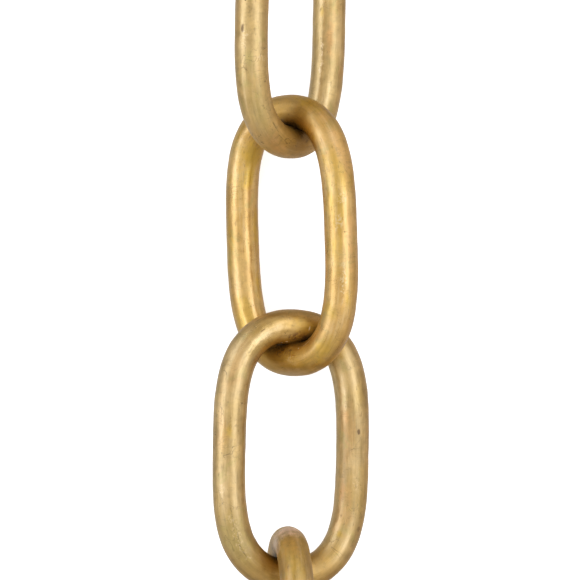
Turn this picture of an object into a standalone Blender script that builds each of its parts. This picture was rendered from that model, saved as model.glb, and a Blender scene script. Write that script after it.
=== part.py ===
"""One foot of brass oval link chain, lying straight on a level floor with a quarter twist in it.

Ten links, each one closed ring of round wire, are named link_01 to link_10 along +X. The origin is on the
floor under the middle of the chain.
"""
import math

import bpy
from mathutils import Euler, Vector
from mathutils.kdtree import KDTree

MM = 0.001

# One link, in metres. The middle line of its wire is an oval with nearly straight sides, where
# |across / half width| ** END_POWER + |along / half length| ** SIDE_POWER = 1. Bending and wear have
# left the wire thinner round the ends, from THIN_FROM of the way to a link's tip.
WIRE_DIAMETER = 4.5 * MM
END_DIAMETER = 4.15 * MM
THIN_FROM = 0.7
LINK_LENGTH = 38.5 * MM
LINK_WIDTH = 22.0 * MM
SIDE_POWER = 3.3
END_POWER = 2.3

# The facets of a link: flats round the wire, and straight lengths along the ring, a multiple of 4, so
# that one of them lies level at the middle of each side.
SECTION_FLATS = 12
RING_LENGTHS = 40

# How the chain lies. Every second link is a quarter turn from the one before, plus the twist so far.
QUARTER_TURN = 90
TWIST = (-45, -46, -48, -53, -50, -16, -8, 26, 44, 45)  # degrees about the chain
SWAY = (0.6, -0.9, 0.5, -1.2, 1.8, -0.9, 1.1, -0.8, 0.9, -0.5)  # degrees across the floor

# Two links are held up by their neighbours' ends: how far their lowest point is off the floor. A link's
# slope is in degrees, and positive where its +X end is the higher one.
LIFT = {6: 3.8 * MM, 8: 2.0 * MM}
SLOPE = {6: 2, 8: -3}

# The clear space between two wires where the ends of their links hook, and how finely it is found.
HOOK_GAP = 0.3 * MM
SLIDE_STEP = 0.25 * MM
SLIDE_HALVINGS = 12
OUTLINE_STEPS = 4000
POINTS_PER_LENGTH = 8

# Every second link is the yellower one.
YELLOW_BRASS = (0.62, 0.42, 0.15, 1)
OLIVE_BRASS = (0.54, 0.41, 0.20, 1)
BRASS_ROUGHNESS = 0.34

WIRE_RADIUS = WIRE_DIAMETER / 2
HALF_WIDTH = LINK_WIDTH / 2 - WIRE_RADIUS
HALF_LENGTH = (LINK_LENGTH - END_DIAMETER) / 2

# The flats enclose the round wire's own area, so a link keeps its real volume and weight.
FLAT_ANGLE = 2 * math.pi / SECTION_FLATS
CORNER_RADIUS = WIRE_RADIUS * math.sqrt(FLAT_ANGLE / math.sin(FLAT_ANGLE))
FLAT_RADIUS = CORNER_RADIUS * math.cos(FLAT_ANGLE / 2)


def clear_scene():
    for obj in list(bpy.data.objects):
        bpy.data.objects.remove(obj, do_unlink=True)


def oval_point(angle):
    """A point of the wire's middle line, in the link's own plane, with the link's length along X."""
    along, across = math.cos(angle), math.sin(angle)
    return Vector((
        math.copysign(HALF_LENGTH * abs(along) ** (2 / SIDE_POWER), along),
        math.copysign(HALF_WIDTH * abs(across) ** (2 / END_POWER), across),
        0,
    ))


def diameter_at(point):
    """The wire's diameter at a point of its middle line: full along the sides, and thinner to the tips."""
    share = max((abs(point.x) / HALF_LENGTH - THIN_FROM) / (1 - THIN_FROM), 0)
    return WIRE_DIAMETER + (END_DIAMETER - WIRE_DIAMETER) * share * share * (3 - 2 * share)


def wire_line():
    """The wire's middle line as evenly spaced points, the first of them half a step past the link's tip."""
    fine = [oval_point(2 * math.pi * i / OUTLINE_STEPS) for i in range(OUTLINE_STEPS + 1)]
    travelled = [0.0]
    for before, after in zip(fine, fine[1:]):
        travelled.append(travelled[-1] + (after - before).length)
    step = travelled[-1] / RING_LENGTHS
    points, i = [], 0
    for n in range(RING_LENGTHS):
        wanted = (n + 0.5) * step
        while travelled[i + 1] < wanted:
            i += 1
        share = (wanted - travelled[i]) / (travelled[i + 1] - travelled[i])
        points.append(fine[i].lerp(fine[i + 1], share))
    return points


def measuring_line():
    """The same closed line with more points on each straight length, for measuring distances."""
    line = wire_line()
    return [
        start.lerp(end, i / POINTS_PER_LENGTH)
        for start, end in zip(line, line[1:] + line[:1])
        for i in range(POINTS_PER_LENGTH)
    ]


def lean_of(number):
    """The angle from the floor up to the link's plane, in degrees, positive where its +Y side is up."""
    turned = TWIST[number - 1] + QUARTER_TURN * (number % 2)
    return (turned + 90) % 180 - 90


def turn_of(number):
    """The link's rotation: leaned about the chain, then sloped, then swayed."""
    angles = lean_of(number), -SLOPE.get(number, 0), SWAY[number - 1]
    return Euler([math.radians(angle) for angle in angles], "XYZ")


def laid(number, line, place):
    """The line's points where the link lies, with its middle at the given place."""
    rotation = turn_of(number).to_matrix()
    return [place + rotation @ point for point in line]


def height_of(number, line):
    """The height of the link's middle with its lowest flat on the floor, or at its stated lift."""
    lowest = min(point.z for point in laid(number, line, Vector()))
    return FLAT_RADIUS - lowest + LIFT.get(number, 0)


def tree_of(points):
    tree = KDTree(len(points))
    for i, point in enumerate(points):
        tree.insert(point, i)
    tree.balance()
    return tree


def hooked_place(number, line, before):
    """The place furthest along X where this link still hooks in the one before, with the stated gap."""
    tree = tree_of(laid(number - 1, line, before))
    place = Vector((before.x + LINK_LENGTH - 2 * END_DIAMETER, 0, height_of(number, line)))
    radii = [diameter_at(point) / 2 for point in line]

    def gap_after(slide):
        gaps = []
        for point, radius in zip(laid(number, line, place + Vector((slide, 0, 0))), radii):
            _, nearest, distance = tree.find(point)
            gaps.append(distance - radius - radii[nearest])
        return min(gaps)

    while gap_after(0) < HOOK_GAP:
        place.x -= SLIDE_STEP
    step = SLIDE_STEP
    for _ in range(SLIDE_HALVINGS):
        step /= 2
        if gap_after(step) >= HOOK_GAP:
            place.x += step
    return place


def places_of_links():
    """The middle of each link, by its number, with the origin under the middle of the whole chain."""
    line = measuring_line()
    places = {1: Vector((0, 0, height_of(1, line)))}
    for number in range(2, len(TWIST) + 1):
        places[number] = hooked_place(number, line, places[number - 1])
    chain = [point for number, place in places.items() for point in laid(number, line, place)]
    middle = Vector((
        (min(point.x for point in chain) + max(point.x for point in chain)) / 2,
        (min(point.y for point in chain) + max(point.y for point in chain)) / 2,
        0,
    ))
    return {number: place - middle for number, place in places.items()}


def brass(number):
    material = bpy.data.materials.new(f"brass_{number:02d}")
    material.use_nodes = True
    shader = material.node_tree.nodes["Principled BSDF"]
    shader.inputs["Base Color"].default_value = YELLOW_BRASS if number % 2 else OLIVE_BRASS
    shader.inputs["Metallic"].default_value = 1
    shader.inputs["Roughness"].default_value = BRASS_ROUGHNESS
    return material


def wire_ring(name, lean):
    """A closed curve with a round bevel, whose section is turned until a flat of the lower side is level."""
    curve = bpy.data.curves.new(name, "CURVE")
    curve.dimensions = "3D"
    curve.twist_mode = "Z_UP"
    curve.bevel_depth = CORNER_RADIUS
    curve.bevel_resolution = SECTION_FLATS // 2 - 2
    line = wire_line()
    ring = curve.splines.new("POLY")
    ring.points.add(len(line) - 1)
    for point, place in zip(ring.points, line):
        point.co = (*place, 1)
        point.radius = diameter_at(place) / WIRE_DIAMETER
        point.tilt = FLAT_ANGLE / 2 - math.radians(abs(lean))
    ring.use_cyclic_u = True
    ring.use_smooth = True
    return curve


def link(number, place, chain):
    name = f"link_{number:02d}"
    curve = wire_ring(name, lean_of(number))
    curve.materials.append(brass(number))
    obj = bpy.data.objects.new(name, curve)
    obj.location = place
    obj.rotation_euler = turn_of(number)
    obj.parent = chain
    bpy.context.scene.collection.objects.link(obj)


def main():
    clear_scene()
    chain = bpy.data.objects.new("chain", None)
    bpy.context.scene.collection.objects.link(chain)
    for number, place in places_of_links().items():
        link(number, place, chain)


main()
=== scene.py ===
# A one foot length of brass oval link chain: the shape and finish of its links, the floor, light and camera.
import math

import bpy
import numpy as np
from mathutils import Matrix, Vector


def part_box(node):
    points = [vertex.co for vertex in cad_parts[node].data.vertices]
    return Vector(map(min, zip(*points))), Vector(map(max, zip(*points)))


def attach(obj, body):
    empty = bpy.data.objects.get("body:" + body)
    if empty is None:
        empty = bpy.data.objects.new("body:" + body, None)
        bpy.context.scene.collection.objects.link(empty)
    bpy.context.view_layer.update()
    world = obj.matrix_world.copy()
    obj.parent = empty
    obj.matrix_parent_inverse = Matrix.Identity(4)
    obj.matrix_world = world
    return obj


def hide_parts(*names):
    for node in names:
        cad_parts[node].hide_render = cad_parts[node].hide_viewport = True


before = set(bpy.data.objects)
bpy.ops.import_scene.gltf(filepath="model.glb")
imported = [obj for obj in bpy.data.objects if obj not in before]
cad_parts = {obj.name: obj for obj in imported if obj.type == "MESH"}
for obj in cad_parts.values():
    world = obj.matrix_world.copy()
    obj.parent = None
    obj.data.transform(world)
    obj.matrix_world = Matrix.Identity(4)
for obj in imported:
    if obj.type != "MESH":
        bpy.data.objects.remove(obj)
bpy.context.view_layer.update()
print("frame loaded:", len(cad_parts), "links")

mm = 0.001
linkNames = sorted(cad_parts)


# The links

linkForm = {
    "length": 38.5 * mm,
    "width": 22.0 * mm,
    "wire": 4.5 * mm,
    "endWire": 4.15 * mm,      # worn and bent thinner round the ends, measured in the link's plane
    "thinFrom": 0.70,          # share of the way to a link's tip where that starts
    "bowFrom": 0.70,           # share of the way to a link's tip where its bow starts
    "seat": 0.31 * mm,         # how much further in the ends reach, to bed in the next link
    "sidePower": 3.3,          # how straight the sides are
    "endPower": 2.3,           # how round the ends are
    "stepsAlong": 576,
    "stepsAround": 72,
    "seed": 100,               # of the waves below, plus the link's number
    # How the wire's thickness wanders, and the shallow hammered waves in it: their height, how many cosine
    # waves they are made of, the most crests these have along and around the wire, and how much lower the
    # finer ones are.
    "wandering": {"height": 0.030 * mm, "count": 12, "alongMost": 7, "aroundMost": 1, "steepness": 1.0},
    "hammering": {"height": 0.018 * mm, "count": 160, "alongMost": 46, "aroundMost": 8, "steepness": 0.6},
    "contactReach": 3.0 * mm,  # how far from a neighbouring wire the dark tarnish and painted shade start
    # Two links that hook askew touch at two spots and have worn a ridge between them: its height on the
    # inner side of a link's start and end, and how far it reaches along the wire.
    "ridges": {"link_05": (0, 0.42 * mm), "link_06": (0.42 * mm, 0)},
    "ridgeReach": 2.4 * mm,
}


def smoothRise(values, start, stop):
    # 0 below start, 1 above stop and 3 * share ** 2 - 2 * share ** 3 between them
    share = np.clip((values - start) / (stop - start), 0, 1)
    return share * share * (3 - 2 * share)


def ovalLine(form):
    # The wire's middle line: |across / half width| ** endPower + |along / half length| ** sidePower = 1,
    # read off at even steps of its own length. Returns (along, across) and the length of the line.
    finePoints = 20001    # from which the even steps are read
    turn = np.linspace(0, 2 * np.pi, finePoints)
    halfLength = (form["length"] - form["endWire"]) / 2
    halfWidth = (form["width"] - form["wire"]) / 2
    along = halfLength * np.sign(np.cos(turn)) * np.abs(np.cos(turn)) ** (2 / form["sidePower"])
    across = halfWidth * np.sign(np.sin(turn)) * np.abs(np.sin(turn)) ** (2 / form["endPower"])
    travelled = np.concatenate([[0], np.cumsum(np.hypot(np.diff(along), np.diff(across)))])
    even = np.linspace(0, travelled[-1], form["stepsAlong"], endpoint=False)
    return np.interp(even, travelled, along), np.interp(even, travelled, across), travelled[-1]


def linkAxes(node):
    # The middle of a link and its directions along, across and out of its plane, from the spread of the
    # points of its solid: the widest spread is along it, and the least is out of its plane.
    decimals = 7    # of a metre, to which the doubles of one corner agree
    points = np.empty(len(node.data.vertices) * 3, np.float32)
    node.data.vertices.foreach_get("co", points)
    points = np.unique(np.round(points.reshape(-1, 3), decimals), axis=0).astype(float)
    middle = points.mean(axis=0)
    along, across = np.linalg.eigh(np.cov((points - middle).T))[1].T[[2, 1]]
    along = along * np.sign(along[0])
    across = across * np.sign(across[1])
    return middle, along, across, np.cross(along, across)


def closedWaves(random, form, waves):
    # A pattern on a ring of wire that closes on itself both ways: a sum of cosine waves with whole numbers
    # of crests along and around the wire, the finer ones lower, times half its stated height. Before that
    # its mean square is 1.
    coarsest = 0.15    # added to the fineness, so that the coarsest waves don't outgrow the rest
    alongTurn = np.linspace(0, 2 * np.pi, form["stepsAlong"], endpoint=False)[:, None]
    aroundTurn = np.linspace(0, 2 * np.pi, form["stepsAround"], endpoint=False)[None, :]
    total = 0
    for _ in range(waves["count"]):
        crestsAlong = random.integers(-waves["alongMost"], waves["alongMost"] + 1)
        crestsAround = random.integers(0, waves["aroundMost"] + 1)
        fineness = math.hypot(crestsAlong / waves["alongMost"], crestsAround / waves["aroundMost"])
        shift = random.uniform(0, 2 * np.pi)
        wave = np.cos(crestsAlong * alongTurn + crestsAround * aroundTurn + shift)
        total = total + wave / (coarsest + fineness) ** waves["steepness"]
    total = total - total.mean()
    return total / math.sqrt((total ** 2).mean()) * waves["height"] / 2


def wireSurface(name, form, axes, random):
    # A round wire carried along the oval line: middle line + (radius - thinning) * cos(v) * outward
    # + radius * sin(v) * normal, with the inner side moved further in by (seat + ridge) * (1 - cos(v)) / 2.
    # The thinning and the seat grow smoothly towards the tips, and the radius carries shallow waves. Returns
    # the points, the middle line, and for each point how far it is round the bow of the wire and how far it
    # faces into the bow.
    middle, along, across, normal = axes
    alongLine, acrossLine, _ = ovalLine(form)
    line = middle + alongLine[:, None] * along + acrossLine[:, None] * across
    tangent = np.roll(line, -1, axis=0) - np.roll(line, 1, axis=0)
    tangent /= np.linalg.norm(tangent, axis=1, keepdims=True)
    outward = np.cross(tangent, normal)

    turn = np.linspace(0, 2 * np.pi, form["stepsAround"], endpoint=False)[None, :]
    radius = form["wire"] / 2 + closedWaves(random, form, form["wandering"])
    radius = radius + closedWaves(random, form, form["hammering"])
    towardsTip = np.abs(alongLine) / alongLine.max()
    end = smoothRise(towardsTip, form["thinFrom"], 1)[:, None]
    thinning = end * (form["wire"] - form["endWire"]) / 2
    atStart, atEnd = form["ridges"].get(name, (0, 0))
    ridge = np.where(alongLine < 0, atStart, atEnd) * np.exp(-(acrossLine / form["ridgeReach"]) ** 2)
    outer = (radius - thinning) * np.cos(turn)
    outer = outer - (end * form["seat"] + ridge[:, None]) * (1 - np.cos(turn)) / 2
    points = line[:, None, :] + outer[:, :, None] * outward[:, None, :]
    points = points + (radius * np.sin(turn))[:, :, None] * normal

    bow = np.repeat(smoothRise(towardsTip, form["bowFrom"], 1)[:, None], form["stepsAround"], axis=1)
    inward = np.sqrt(bow) * np.clip(-np.cos(turn), 0, 1)
    return points, line, bow, inward


def nearness(points, otherLine, form):
    # 1 where a surface point touches another wire, falling smoothly to 0 at the stated reach from it
    everyFourth = otherLine[::4]
    parts = 12    # the line is taken in parts, so that the table of distances stays small
    flat = points.reshape(-1, 3)
    nearest = np.full(len(flat), np.inf)
    for part in np.array_split(everyFourth, parts):
        nearest = np.minimum(nearest, ((flat[:, None, :] - part) ** 2).sum(axis=2).min(axis=1))
    skin = form["wire"] / 2
    away = smoothRise(np.sqrt(nearest), skin, skin + form["contactReach"])
    return (1 - away).reshape(points.shape[:2])


def ringMesh(name, points, attributes):
    # A grid of points that closes both ways, as quads, with a UV map of (share along, share around).
    alongCount, aroundCount = points.shape[:2]
    i, j = np.meshgrid(np.arange(alongCount), np.arange(aroundCount), indexing="ij")
    corners = [(i, j), (i + 1, j), (i + 1, j + 1), (i, j + 1)]
    index = [(a % alongCount) * aroundCount + b % aroundCount for a, b in corners]
    loops = np.stack(index, axis=-1).ravel()
    uv = np.stack([np.stack([a / alongCount, b / aroundCount], axis=-1) for a, b in corners], axis=-2)
    mesh = bpy.data.meshes.new(name)
    mesh.vertices.add(alongCount * aroundCount)
    mesh.vertices.foreach_set("co", points.astype(np.float32).ravel())
    mesh.loops.add(len(loops))
    mesh.loops.foreach_set("vertex_index", loops.astype(np.int32))
    mesh.polygons.add(len(loops) // 4)
    mesh.polygons.foreach_set("loop_start", np.arange(0, len(loops), 4, dtype=np.int32))
    mesh.update(calc_edges=True)
    mesh.uv_layers.new(name="wire").data.foreach_set("uv", uv.astype(np.float32).ravel())
    for title, values in attributes.items():
        layer = mesh.attributes.new(title, "FLOAT", "POINT")
        layer.data.foreach_set("value", values.astype(np.float32).ravel())
    mesh.shade_smooth()
    return mesh


# Shader maths

class Sock:
    # One output socket. Operators on it add Math nodes, and also() adds any other node to the same tree.
    def __init__(self, socket):
        self.socket = socket
        self.tree = socket.id_data

    @staticmethod
    def make(tree, kind, settings=None, inputs=None, out=0):
        node = tree.nodes.new(kind)
        for key, value in (settings or {}).items():
            setattr(node, key, value)
        for key, value in (inputs or {}).items():
            if isinstance(value, Sock):
                tree.links.new(value.socket, node.inputs[key])
            else:
                node.inputs[key].default_value = value
        return Sock(node.outputs[out]) if node.outputs else None

    def also(self, kind, settings=None, inputs=None, out=0):
        return Sock.make(self.tree, kind, settings, inputs, out)

    def math(self, operation, *others):
        inputs = dict(enumerate((self, *others)))
        return self.also("ShaderNodeMath", {"operation": operation}, inputs)

    def __add__(self, other):
        return self.math("ADD", other)

    def __sub__(self, other):
        return self.math("SUBTRACT", other)

    def __rsub__(self, other):
        return self.also("ShaderNodeMath", {"operation": "SUBTRACT"}, {0: other, 1: self})

    def __mul__(self, other):
        return self.math("MULTIPLY", other)

    __radd__ = __add__
    __rmul__ = __mul__

    def clamped(self):
        return self.also("ShaderNodeClamp", None, {"Value": self})

    def between(self, low, high):
        # 0 below low, 1 above high and smooth between them
        return self.also("ShaderNodeMapRange", {"interpolation_type": "SMOOTHSTEP"},
                         {"Value": self, "From Min": low, "From Max": high})

    def line(self, at, halfWidth):
        # 1 where the value is at the given one, 0 from halfWidth away
        return 1 - (self - at).math("ABSOLUTE").between(0, halfWidth)

    def mixed(self, low, high):
        # the colour low where the value is 0, and high where it is 1
        return self.also("ShaderNodeMix", {"data_type": "RGBA"}, {0: self, 6: low, 7: high}, 2)


# The brass

brassLook = {
    # A link's own finish: its two main colours, how rough it is, how far it turns rosy in patches, golden in
    # patches and brown round its bows, partly as patina and partly as painted shade, and how clear its curly
    # scratches are.
    "finishes": {
        "straw": {"light": (0.645, 0.465, 0.200, 1), "deep": (0.555, 0.390, 0.155, 1), "roughness": 0.38,
                  "rosyShare": 0.30, "goldShare": 0.10, "bowBrownAndShadeShare": 0.50, "curlShare": 1.0},
        "golden": {"light": (0.710, 0.472, 0.165, 1), "deep": (0.630, 0.392, 0.115, 1), "roughness": 0.32,
                   "rosyShare": 0.34, "goldShare": 0.50, "bowBrownAndShadeShare": 0.75, "curlShare": 0.5},
        "olive": {"light": (0.590, 0.420, 0.180, 1), "deep": (0.505, 0.350, 0.137, 1), "roughness": 0.36,
                  "rosyShare": 0.30, "goldShare": 0.15, "bowBrownAndShadeShare": 0.65, "curlShare": 1.0},
        "brown": {"light": (0.510, 0.335, 0.105, 1), "deep": (0.430, 0.270, 0.075, 1), "roughness": 0.50,
                  "rosyShare": 0.40, "goldShare": 0.30, "bowBrownAndShadeShare": 0.15, "curlShare": 0.7},
    },
    "inTurn": ("straw", "golden", "olive", "straw", "golden", "olive", "brown", "straw", "golden", "olive"),

    # The colours that lie over the main two.
    # Pale brass, the streaks' own colour, also laid on as a painted highlight by the flecks and single marks.
    "bleachedAndHighlight": (0.750, 0.580, 0.320, 1),
    "rosy": (0.660, 0.380, 0.140, 1),
    "green": (0.480, 0.390, 0.130, 1),
    "goldStain": (0.620, 0.400, 0.045, 1),
    # A painted reflection and a painted highlight, pale grey and pink, at grazing edges and a tip.
    "paintedGreyReflection": (0.770, 0.650, 0.540, 1),
    "paintedPinkHighlight": (0.950, 0.680, 0.520, 1),
    "brown": (0.400, 0.220, 0.035, 1),
    # A painted highlight: bright glints laid on as colour.
    "glintHighlight": (0.950, 0.850, 0.650, 1),
    # Brown round the bows: partly patina, partly painted shade on their inner sides.
    "bowBrownAndShade": (0.500, 0.275, 0.030, 1),
    # Near a touching link, golden brown then almost black: partly tarnish, partly painted shade.
    "contactGoldAndShade": (0.410, 0.235, 0.030, 1),
    "contactBrownAndShade": (0.080, 0.043, 0.016, 1),
    "crust": (0.150, 0.072, 0.030, 1),
    "pitBrown": (0.180, 0.105, 0.040, 1),

    # How strong each one is where it is full.
    "greenShare": 0.45,
    "colourMarkShare": 0.75,
    "highlightFleckShare": 0.75,
    "contactGoldAndShadeShare": 0.65,
    "contactBrownAndShadeShare": 0.92,
    "crustShare": 0.80,
    "pitShare": 0.85,

    # Where a noise, or the nearness of the next wire, goes over into a colour: a fade is where that starts
    # and where it is full, and an edge is the noise that frays it, and how far.
    "patchEdge": {"mottle": 0.25},
    "patchFade": (0.36, 0.62),
    "streakGain": 1.8,
    "streakLift": 0.05,
    "bowSides": {"bow": 0.75, "inward": 0.35},
    "bowEdge": {"mottle": 0.40},
    "contactEdge": {"mottle": 0.90},
    "contactGoldAndShadeFade": (0.15, 0.75),
    "contactBrownAndShadeFade": (0.62, 1.15),
    "highlightFleckEdge": {"mottle": 0.50},
    "highlightFleckFade": (0.50, 0.62),

    # Pits are the middles of some of the cells of a cell pattern.
    "pitsPerMm": 0.42,
    "pitFade": (0.030, 0.085),
    "loopLine": (0.50, 0.30),       # where on a loop's mark its line runs, and its half width
    "scratchBreaks": (0.40, 0.52),  # the speckle that breaks up the single loops and creases

    # How far the noises make the colour lighter or darker, and how far the small marks darken it.
    "shading": {"mottle": 0.50, "speckle": 0.16, "streaks": 0.50},
    "darkening": {"hairs": 0.16, "curls": 0.45, "pores": 0.20, "scores": 0.12},

    # How far the noises, the small marks and the single marks change the roughness.
    "roughening": {"mottle": 0.20, "patches": 0.32},
    "roughSpots": {"scores": -0.05, "tarnishAndShade": 0.20, "pits": 0.30, "pores": 0.10, "bow": 0.10},
    "roughMarks": {"dull": 0.26, "shine": -0.20},
    "coat": 0.60,
    "coatRoughness": 0.25,

    # The relief: what the wire's grain, its scratches and its pores are made of, and how deep each is.
    "grain": {"waves": 1.0, "speckle": 0.08, "scores": 0.08},
    "highlightFleckRise": 0.20,
    "crustDepth": 0.60,
    "scratches": {"pits": 1.0, "curls": 0.60, "hairs": 0.25},
    "grainHeight": 0.030 * mm,
    "scratchHeight": 0.022 * mm,
    "poreHeight": 0.005 * mm,
}

# The noises on the brass, by their waves per millimetre. One with a stretch is drawn out that many times
# along the wire. One with a fade is 0 below its first value and 1 above its second, and one with a line is 1
# only where the noise has that value, to the stated half width.
brassNoises = {
    "patches": {"perMm": 0.17, "detail": 3.0, "roughness": 0.60},
    "mottle": {"perMm": 0.90, "detail": 3.0, "roughness": 0.55},
    "speckle": {"perMm": 3.40, "roughness": 0.60},
    "streaks": {"perMm": 1.20, "detail": 3.0, "roughness": 0.60, "stretch": 8.0},
    "waves": {"perMm": 1.10, "roughness": 0.45, "stretch": 1.7},
    "wobble": {"perMm": 0.90},
    "rumpling": {"perMm": 1.40, "distortion": 0.8},
    "rosyPatches": {"perMm": 0.42, "stretch": 2.5, "fade": (0.54, 0.68)},
    "goldPatches": {"perMm": 0.30, "stretch": 2.0, "fade": (0.50, 0.62)},
    "greenPatches": {"perMm": 0.36, "detail": 3.0, "roughness": 0.60, "distortion": 0.8,
                     "fade": (0.56, 0.68)},
    "crumbs": {"perMm": 2.00, "detail": 3.0, "roughness": 0.60, "distortion": 0.8, "fade": (0.42, 0.60)},
    "pores": {"perMm": 2.40, "roughness": 0.55, "stretch": 2.0, "fade": (0.63, 0.74)},
    "scores": {"perMm": 2.60, "stretch": 12.0, "fade": (0.58, 0.70)},
    "hairLines": {"perMm": 0.28, "stretch": 0.20, "line": (0.50, 0.022)},
    "curlLines": {"perMm": 0.42, "roughness": 0.45, "distortion": 1.2, "line": (0.53, 0.010)},
    "pitAreas": {"perMm": 0.90, "detail": 1.0, "fade": (0.50, 0.60)},
    "hairAreas": {"perMm": 0.60, "detail": 1.0, "fade": (0.50, 0.62)},
    "curlAreas": {"perMm": 0.23, "detail": 1.0, "fade": (0.54, 0.60)},
}

# The marks that single links carry. Each has its place as millimetres along the wire from the tip of the
# link that is further along the chain, and degrees round it from its outer side, then its reach along and
# round the wire in millimetres, and its strength.
# The flecks, glints, pale crown mark and grey and pink edge marks are painted highlights and reflections.
wireMarks = {
    "link_04": {
        "pits": [(68.0, 5, 0.7, 0.34, 0.8), (75.0, 85, 0.2, 0.16, 0.7)],
        "highlightFlecks": [(69.0, 10, 1.6, 0.7, 1.0), (72.0, 75, 0.7, 0.6, 0.8), (17.0, 168, 3.0, 0.5, 1.0),
                   (13.0, 170, 0.5, 0.5, 1.0)],
        "green": [(72.0, 30, 2.2, 0.9, 0.8), (79.0, 40, 4.0, 1.6, 0.5)],
        "rosy": [(19.5, 140, 3.6, 0.8, 0.9), (83.0, 45, 2.6, 1.4, 0.5)],
        "goldStain": [(23.5, 170, 1.2, 0.5, 0.7)],
        "brown": [(87.0, 70, 3.0, 1.2, 0.5)],
        "dull": [(84.0, 55, 13.0, 6.0, 0.8)],
        "loops": [(84.6, 78, 0.85, 0.5, 0.9)],
        "creases": [(81.6, 78, 1.0, 0.14, 0.9), (83.2, 72, 1.0, 0.14, 0.9)],
        "rumples": [(69.0, 20, 5.0, 3.0, 0.6)],
    },
    "link_05": {
        "pits": [(19.5, 110, 0.3, 0.18, 0.8)],
        "highlightFlecks": [(26.5, 50, 1.2, 0.8, 0.8), (23.5, 60, 1.6, 0.8, 0.9), (15.5, 45, 2.6, 0.5, 1.0),
                   (1.2, 86, 1.0, 0.7, 0.45)],
        "glintHighlights": [(2.7, 125, 0.3, 0.14, 0.6), (7.4, 120, 1.6, 0.12, 0.4), (4.6, 127, 1.6, 0.12, 0.4)],
        "rosy": [(21.0, 15, 6.5, 0.8, 0.9), (0.0, 50, 2.0, 0.7, 0.6)],
        "green": [(40.0, 0, 1.2, 1.2, 0.8)],
        "goldStain": [(56.5, 155, 2.8, 1.2, 0.9), (64.5, 190, 4.5, 0.9, 0.9), (72.5, 185, 3.2, 0.8, 1.0),
                      (53.5, 145, 4.0, 2.6, 1.0), (40.0, 20, 2.8, 1.8, 1.0), (6.5, 55, 3.0, 1.8, 0.7),
                      (35.5, 105, 0.5, 0.4, 0.8)],
        "brown": [(85.5, 95, 3.2, 2.4, 0.25), (39.5, 95, 2.6, 1.8, 0.85)],
        "paintedGreyReflection": [(0.3, 36, 3.2, 0.9, 0.2)],
        "crust": [(87.2, 122, 2.8, 1.3, 0.8), (1.0, 120, 1.6, 0.9, 0.7)],
        "dull": [(33.5, 30, 6.0, 3.0, 0.9), (52.0, 150, 5.0, 3.0, 0.9)],
        "shine": [(1.5, 95, 0.9, 0.7, 0.7)],
        "rumples": [(25.0, 50, 6.0, 3.0, 0.5)],
    },
    "link_06": {
        "pits": [(24.5, 85, 0.5, 0.3, 0.8), (11.5, 55, 0.5, 0.4, 0.6), (48.7, 75, 0.5, 0.16, 0.6)],
        "highlightFlecks": [(71.0, 50, 0.8, 0.6, 0.9), (17.5, 90, 1.4, 0.7, 0.6), (77.0, 80, 4.0, 0.7, 0.8)],
        "glintHighlights": [(46.2, 158, 0.3, 0.16, 0.8), (45.3, 150, 0.4, 0.16, 0.8), (42.0, 95, 0.16, 0.4, 0.5)],
        "green": [(78.0, 72, 6.0, 3.5, 0.7)],
        "goldStain": [(63.0, 75, 1.6, 0.6, 0.7), (10.0, 120, 0.8, 0.7, 0.8), (43.0, 82, 2.4, 1.4, 0.5)],
        "rosy": [(16.0, 140, 2.6, 0.7, 0.8), (26.5, 130, 1.5, 0.7, 0.8), (41.0, 58, 2.8, 1.4, 0.6)],
        "brown": [(41.5, 115, 2.2, 1.4, 0.15)],
        # A painted highlight on the crown's shoulder.
        "bleachedAndHighlight": [(49.0, 92, 4.5, 1.0, 0.8)],
        "crust": [(43.4, 128, 3.0, 1.3, 1.0)],
        "dull": [(78.0, 72, 6.5, 6.0, 0.9), (19.5, 75, 11.0, 6.0, 0.8)],
        "shine": [(81.0, 80, 0.8, 0.35, 0.9), (48.5, 82, 6.0, 2.6, 0.9)],
        "creases": [(74.7, 78, 2.2, 0.12, 0.8), (77.0, 83, 1.8, 0.12, 1.0), (79.3, 77, 1.6, 0.16, 1.0),
                    (13.5, 90, 0.7, 0.12, 0.7)],
        "rumples": [(77.5, 80, 6.0, 4.5, 1.0), (14.0, 80, 6.0, 4.0, 0.5)],
    },
    "link_07": {
        "paintedGreyReflection": [(41.0, 80, 3.5, 1.3, 1.0)],
        "paintedPinkHighlight": [(41.9, 8, 2.4, 2.8, 0.9)],
        "rosy": [(38.5, 15, 3.5, 1.4, 0.7)],
        "goldStain": [(37.5, 15, 5.0, 1.2, 0.5)],
        "brown": [(36.0, 60, 4.0, 1.6, 0.8), (34.0, 20, 2.6, 1.0, 0.3)],
    },
}

# The marks that are laid on as colour, from the lowest to the topmost: stains, and painted reflections and
# highlights.
colourMarkOrder = ("green", "rosy", "goldStain", "brown", "paintedGreyReflection", "paintedPinkHighlight", "bleachedAndHighlight")

# The edge of each kind of mark: which noise frays it and how far, and how softly it fades, from 0 to 1. The
# marks laid on as colour, stains and painted light alike, share one edge.
markEdges = {
    "colourMark": {"fray": {"mottle": 1.2}, "fade": 0.9},
    "pits": {"fray": {"speckle": 0.8}, "fade": 0.6},
    "glintHighlights": {"fray": {"speckle": 1.0}, "fade": 0.6},
    "highlightFlecks": {"fray": {"wobble": 2.4}, "fade": 0.6},
    "creases": {"fray": {"wobble": 2.4}, "fade": 0.6},
    "loops": {"fray": {"wobble": 2.4}, "fade": 1.0},
    "crust": {"fray": {"wobble": 1.44}, "fade": 1.0},
    "rumples": {"fray": {"wobble": 1.2}, "fade": 1.0},
    "dull": {"fray": {"mottle": 1.0}, "fade": 0.6},
    "shine": {"fray": {"mottle": 1.0}, "fade": 0.6},
}


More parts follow.
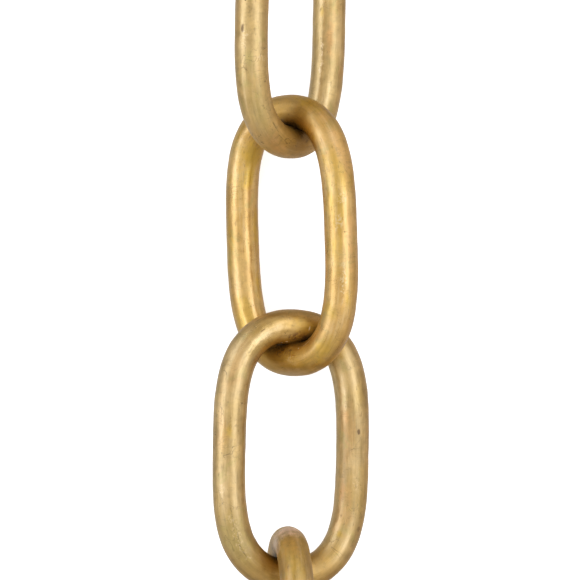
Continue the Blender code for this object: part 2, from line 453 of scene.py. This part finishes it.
class Wire:
    # One link's wire as its finish sees it, in millimetres. wire["name"] is a layer by its name: one that was
    # put there, a point attribute of the mesh, or a noise of the brass, made when it is first asked for.
    attributes = ("contact", "bow", "inward")
    noiseMiddle = 0.5
    fadeFrom = 0.88     # share of the wire from which a stretched noise fades into its own start
    seedStep = 41.0     # millimetres of noise between one link and the next

    def __init__(self, tree, number, marks, form, length):
        self.tree = tree
        self.number = number
        self.marks = marks
        self.length = length / mm
        radius = form["wire"] / 2 / mm
        self.girth = 2 * math.pi * radius
        uv = Sock.make(tree, "ShaderNodeUVMap", {"uv_map": "wire"})
        self.alongShare = uv.also("ShaderNodeSeparateXYZ", None, {0: uv}, "X")
        self.aroundShare = uv.also("ShaderNodeSeparateXYZ", None, {0: uv}, "Y")
        turn = self.aroundShare * (2 * math.pi)
        self.side = turn.math("COSINE") * radius
        self.rise = turn.math("SINE") * radius
        place = Sock.make(tree, "ShaderNodeTexCoord", out="Object")
        self.place = place.also("ShaderNodeVectorMath", {"operation": "SCALE"}, {0: place, "Scale": 1 / mm})
        self.layers = {}

    def __getitem__(self, title):
        if title not in self.layers:
            if title in self.attributes:
                self.layers[title] = Sock.make(self.tree, "ShaderNodeAttribute", {"attribute_name": title},
                                               out="Fac")
            else:
                self.layers[title] = self.noise(**brassNoises[title])
        return self.layers[title]

    def __setitem__(self, title, layer):
        self.layers[title] = layer

    def unrolled(self, stretch, lap):
        # Places on the unrolled wire in millimetres: along it, less whole laps, and round it as a point on
        # the wire's circle.
        along = (self.alongShare - lap) * (self.length / stretch) + self.seedStep * self.number
        return along.also("ShaderNodeCombineXYZ", None, {"X": along, "Y": self.side, "Z": self.rise})

    def noise(self, perMm, detail=2.0, roughness=0.5, distortion=0.0, stretch=None, fade=None, line=None):
        def over(where):
            return where.also("ShaderNodeTexNoise", {"noise_dimensions": "3D"},
                              {"Vector": where, "Scale": perMm, "Detail": detail, "Roughness": roughness,
                               "Distortion": distortion})

        if stretch is None:
            field = over(self.place)
        else:
            # It fades into its own start over the last part of the lap, so that it has no seam.
            late = self.alongShare.between(self.fadeFrom, 1.0)
            field = over(self.unrolled(stretch, 0.0)) * (1 - late) + over(self.unrolled(stretch, 1.0)) * late
        if fade:
            return field.between(*fade)
        if line:
            return field.line(*line)
        return field

    def summed(self, weights):
        # the named layers, each times its weight
        return sum(self[title] * weight for title, weight in weights.items())

    def swung(self, weights):
        # how far the named noises are from their middle, each times its weight
        return sum((self[title] - self.noiseMiddle) * weight for title, weight in weights.items())

    def marked(self, kind):
        # 1 in the middle of each mark of one kind and 0 past its reach, with a frayed edge
        edge = markEdges["colourMark" if kind in colourMarkOrder else kind]
        fray = self.swung(edge["fray"])
        mask = None
        for along, degrees, reachAlong, reachAround, strength in self.marks[kind]:
            x = (self.alongShare - along / self.length + 0.5).math("FRACT") - 0.5
            y = (self.aroundShare - degrees / 360 + 0.5).math("FRACT") - 0.5
            x = x * (self.length / reachAlong)
            y = y * (self.girth / reachAround)
            near = (fray - (x * x + y * y).math("SQRT") + 1.0).between(0.0, edge["fade"]) * strength
            mask = near if mask is None else mask.math("MAXIMUM", near)
        return mask


def smallMarks(wire, finish, look):
    # Puts pits, hairlines round the wire, curly scratches, painted highlight flecks and crust on the wire,
    # the link's own among them. The pores and the scores along the wire are noises alone.
    cells = wire.place.also("ShaderNodeTexVoronoi", {"feature": "F1"},
                            {"Vector": wire.place, "Scale": look["pitsPerMm"], "Randomness": 1.0},
                            "Distance")
    wire["pits"] = (1 - cells.between(*look["pitFade"])) * wire["pitAreas"]
    wire["hairs"] = wire["hairLines"] * wire["hairAreas"]
    wire["curls"] = wire["curlLines"] * wire["curlAreas"] * finish["curlShare"]
    if "pits" in wire.marks:
        wire["pits"] = wire["pits"].math("MAXIMUM", wire.marked("pits"))
    for kind in ("loops", "creases"):
        if kind in wire.marks:
            scratch = wire.marked(kind)
            if kind == "loops":
                scratch = scratch.line(*look["loopLine"])
            scratch = scratch * wire["speckle"].between(*look["scratchBreaks"])
            wire["curls"] = wire["curls"].math("MAXIMUM", scratch)
    # Painted highlight flecks, also raised a little in the relief.
    if "highlightFlecks" in wire.marks:
        specks = (wire["speckle"] + wire.swung(look["highlightFleckEdge"])).between(*look["highlightFleckFade"])
        wire["highlightFlecks"] = wire.marked("highlightFlecks") * specks
    if "crust" in wire.marks:
        wire["crust"] = wire.marked("crust") * wire["crumbs"]


def patinaAndPaintedLight(wire, finish, look):
    # The colour without the small marks: two main colours in patches, rosy, golden and green patches,
    # pale streaks, bows browned partly as patina and partly as painted shade, and the link's own stains,
    # painted reflections and painted highlights.
    colour = (wire["patches"] + wire.swung(look["patchEdge"])).between(*look["patchFade"])
    colour = colour.mixed(finish["deep"], finish["light"])
    colour = (wire["goldPatches"] * finish["goldShare"]).mixed(colour, look["goldStain"])
    colour = (wire["rosyPatches"] * finish["rosyShare"]).mixed(colour, look["rosy"])
    colour = (wire["greenPatches"] * look["greenShare"]).mixed(colour, look["green"])
    streaked = wire.swung({"streaks": look["streakGain"]}) + look["streakLift"]
    colour = streaked.clamped().mixed(colour, look["bleachedAndHighlight"])
    # Brown round the bows, more on their inner sides: partly patina, partly painted shade.
    bowBrownAndShadeMask = (wire.summed(look["bowSides"]) + wire.swung(look["bowEdge"])).clamped()
    colour = (bowBrownAndShadeMask * finish["bowBrownAndShadeShare"]).mixed(colour, look["bowBrownAndShade"])
    # The single marks laid on as colour: stains, and also painted reflections and highlights.
    for colourMark in colourMarkOrder:
        if colourMark in wire.marks:
            colour = (wire.marked(colourMark) * look["colourMarkShare"]).mixed(colour, look[colourMark])
    return colour


def wornAndPaintedLight(wire, colour, look):
    # The colour with its fine shading, painted highlight flecks, the tarnish and painted shade where two
    # links touch, crust, pits and painted glints.
    shade = wire.swung(look["shading"]) + 1.0
    for title, share in look["darkening"].items():
        shade = shade * (1 - wire[title] * share)
    grey = shade.also("ShaderNodeCombineColor", None, {0: shade, 1: shade, 2: shade})
    colour = colour.also("ShaderNodeMix", {"data_type": "RGBA", "blend_type": "MULTIPLY"},
                         {0: 1.0, 6: colour, 7: grey}, 2)
    # Painted highlight: the flecks are laid on as pale colour.
    if "highlightFlecks" in wire.marks:
        colour = (wire["highlightFlecks"] * look["highlightFleckShare"]).mixed(colour, look["bleachedAndHighlight"])
    # Painted shade, partly real tarnish: towards a touching link the colour goes golden brown, then almost
    # black.
    touched = wire["contact"] + wire.swung(look["contactEdge"])
    wire["tarnishAndShade"] = touched.between(*look["contactBrownAndShadeFade"])
    golden = touched.between(*look["contactGoldAndShadeFade"])
    colour = (golden * look["contactGoldAndShadeShare"]).mixed(colour, look["contactGoldAndShade"])
    colour = (wire["tarnishAndShade"] * look["contactBrownAndShadeShare"]).mixed(colour, look["contactBrownAndShade"])
    if "crust" in wire.marks:
        colour = (wire["crust"] * look["crustShare"]).mixed(colour, look["crust"])
    colour = (wire["pits"] * look["pitShare"]).mixed(colour, look["pitBrown"])
    # Painted highlight: small bright glints laid on as colour.
    if "glintHighlights" in wire.marks:
        colour = wire.marked("glintHighlights").mixed(colour, look["glintHighlight"])
    return colour


def sheen(wire, finish, look):
    # How rough the metal is.
    roughness = wire.swung(look["roughening"]) + finish["roughness"] + wire.summed(look["roughSpots"])
    for kind, change in look["roughMarks"].items():
        if kind in wire.marks:
            roughness = roughness + wire.marked(kind) * change
    return roughness.clamped()


def relief(wire, look):
    # The bumps: the grain with rumples, flecks and crust, then the scratches and pits, then the pores.
    grain = wire.summed(look["grain"])
    if "rumples" in wire.marks:
        grain = grain + wire.marked("rumples") * wire.swung({"rumpling": 1.0})
    if "highlightFlecks" in wire.marks:
        grain = grain + wire["highlightFlecks"] * look["highlightFleckRise"]
    if "crust" in wire.marks:
        grain = grain - wire["crust"] * look["crustDepth"]
    scratches = 1 - wire.summed(look["scratches"])
    pores = 1 - wire["pores"]
    normal = {}
    for height, depth in ((grain, "grainHeight"), (scratches, "scratchHeight"), (pores, "poreHeight")):
        bumped = height.also("ShaderNodeBump", None,
                             {"Strength": 1.0, "Distance": look[depth], "Height": height, **normal})
        normal = {"Normal": bumped}
    return bumped


def brass(name, number, look, marks, form, length):
    finish = look["finishes"][look["inTurn"][number - 1]]
    material = bpy.data.materials.new("brass_" + name)
    material.use_nodes = True
    tree = material.node_tree
    tree.nodes.clear()
    wire = Wire(tree, number, marks, form, length)
    smallMarks(wire, finish, look)
    colour = wornAndPaintedLight(wire, patinaAndPaintedLight(wire, finish, look), look)
    shader = Sock.make(tree, "ShaderNodeBsdfPrincipled", None, {
        "Base Color": colour, "Metallic": 1.0, "Roughness": sheen(wire, finish, look),
        "Normal": relief(wire, look), "Coat Weight": look["coat"], "Coat Roughness": look["coatRoughness"]})
    shader.also("ShaderNodeOutputMaterial", None, {"Surface": shader})
    return material


# Every link, in place of its solid

surfaces = {}
for number, name in enumerate(linkNames, start=1):
    random = np.random.default_rng(linkForm["seed"] + number)
    surfaces[name] = wireSurface(name, linkForm, linkAxes(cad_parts[name]), random)

wireLength = ovalLine(linkForm)[2]
for number, name in enumerate(linkNames, start=1):
    points, _, bow, inward = surfaces[name]
    neighbours = linkNames[max(number - 2, 0):number - 1] + linkNames[number:number + 1]
    contact = np.zeros(points.shape[:2])
    for other in neighbours:
        otherLine = surfaces[other][1]
        contact = np.maximum(contact, nearness(points, otherLine, linkForm))
    mesh = ringMesh("brass_" + name, points, {"contact": contact, "bow": bow, "inward": inward})
    mesh.materials.append(brass(name, number, brassLook, wireMarks.get(name, {}), linkForm, wireLength))
    piece = bpy.data.objects.new("brass_" + name, mesh)
    bpy.context.scene.collection.objects.link(piece)
    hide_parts(name)
    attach(piece, "root")
trianglesEach = linkForm["stepsAlong"] * linkForm["stepsAround"] * 2
print("links made:", len(linkNames), "with", len(linkNames) * trianglesEach, "triangles")


# The floor, the light and the camera

stageLook = {
    "floorSize": 6.0,
    "floorColour": (0.85, 0.86, 0.88, 1),
    "floorRoughness": 0.9,
    "floorGlow": 0.68,
    "skyUp": (0.93, 0.88, 0.81),
    "skyLeft": (0.60, 0.57, 0.52),     # below the horizon on the -Y side
    "skyRight": (0.58, 0.49, 0.40),    # and on the +Y side
    "sideFade": (-0.60, 0.60),         # how far to the -Y and +Y sides these go over into each other
    "horizonFade": (-0.25, 0.35),      # how far below and above the horizon they go over into the sky
    "endsDarker": 0.25,                # how much darker it is along the chain than across it
    "endsFade": (0.25, 0.95),          # how far towards the chain's ends that starts and is full
    # Two long lights, one on each side of the camera: degrees from straight up towards +Y, distance, width
    # and length in metres, power in watts, and colour.
    "lights": {
        "left": {"lean": -57, "distance": 0.60, "width": 0.34, "length": 1.00, "watts": 1.28,
                 "colour": (0.88, 1.0, 1.36)},
        "right": {"lean": 36, "distance": 0.60, "width": 0.34, "length": 1.00, "watts": 1.12,
                  "colour": (0.91, 1.0, 1.22)},
    },
    "lightsTowardsStart": 0.35,    # how far the lights' middle is towards the chain's start, in metres
}


def makeFloor(look):
    half = look["floorSize"] / 2
    corners = [(-half, -half, 0), (half, -half, 0), (half, half, 0), (-half, half, 0)]
    mesh = bpy.data.meshes.new("floor")
    mesh.from_pydata(corners, [], [(0, 1, 2, 3)])
    material = bpy.data.materials.new("floor")
    material.use_nodes = True
    shader = material.node_tree.nodes["Principled BSDF"]
    shader.inputs["Base Color"].default_value = look["floorColour"]
    shader.inputs["Roughness"].default_value = look["floorRoughness"]
    shader.inputs["Specular IOR Level"].default_value = 0.0
    shader.inputs["Emission Color"].default_value = (1, 1, 1, 1)
    shader.inputs["Emission Strength"].default_value = look["floorGlow"]
    mesh.materials.append(material)
    floor = bpy.data.objects.new("floor", mesh)
    floor.visible_glossy = False    # the brass mirrors the studio and not the glare of the floor
    bpy.context.scene.collection.objects.link(floor)


def makeSky(look):
    # One grey above, and below it a darker one that is warmer on one side, with soft changes between them.
    world = bpy.data.worlds.new("studio")
    world.use_nodes = True
    tree = world.node_tree
    tree.nodes.clear()
    direction = Sock.make(tree, "ShaderNodeTexCoord", out="Generated")
    ahead, side, height = [direction.also("ShaderNodeSeparateXYZ", None, {0: direction}, axis)
                           for axis in "XYZ"]
    low = side.between(*look["sideFade"]).mixed((*look["skyLeft"], 1), (*look["skyRight"], 1))
    colour = height.between(*look["horizonFade"]).mixed(low, (*look["skyUp"], 1))
    strength = 1 - ahead.math("ABSOLUTE").between(*look["endsFade"]) * look["endsDarker"]
    shade = colour.also("ShaderNodeBackground", None, {"Color": colour, "Strength": strength})
    shade.also("ShaderNodeOutputWorld", None, {"Surface": shade})
    bpy.context.scene.world = world


def makeLights(look):
    for name, values in look["lights"].items():
        lamp = bpy.data.lights.new(name, "AREA")
        lamp.shape = "RECTANGLE"
        lamp.size = values["length"]
        lamp.size_y = values["width"]
        lamp.energy = values["watts"]
        lamp.color = values["colour"]
        light = bpy.data.objects.new(name, lamp)
        angle = math.radians(values["lean"])
        across = values["distance"] * math.sin(angle)
        up = values["distance"] * math.cos(angle)
        light.location = (-look["lightsTowardsStart"], across, up)
        light.rotation_euler = (-angle, 0, 0)
        light.visible_camera = False
        bpy.context.scene.collection.objects.link(light)


cameraPlace = {
    "link": "link_05",           # the link that shows whole, in the upper half of the picture
    "pastStart": 26.7 * mm,      # how far past that link's start the picture's middle is
    "across": -0.15 * mm,
    "height": 430.0 * mm,
    "nearest": 10.0 * mm,        # nothing nearer to the camera shows
    "focusHeight": 8.0 * mm,     # the wire's usual height, where the scale is the one below
    "pixelsPerMm": 7.318,
    "framePixels": 580,
}


def makeCamera(place):
    # It looks straight down on the chain, with the chain's start at the top of the picture.
    data = bpy.data.cameras.new("camera")
    pictureWidth = place["framePixels"] / place["pixelsPerMm"] * mm
    data.lens = data.sensor_width * (place["height"] - place["focusHeight"]) / pictureWidth
    data.clip_start = place["nearest"]
    camera = bpy.data.objects.new("camera", data)
    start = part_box(place["link"])[0][0]
    camera.location = (start + place["pastStart"], place["across"], place["height"])
    camera.rotation_euler = (0, 0, math.pi / 2)
    bpy.context.scene.collection.objects.link(camera)
    bpy.context.scene.camera = camera


makeFloor(stageLook)
makeSky(stageLook)
makeLights(stageLook)
makeCamera(cameraPlace)
bpy.context.scene.view_settings.view_transform = "Standard"
print("stage set")
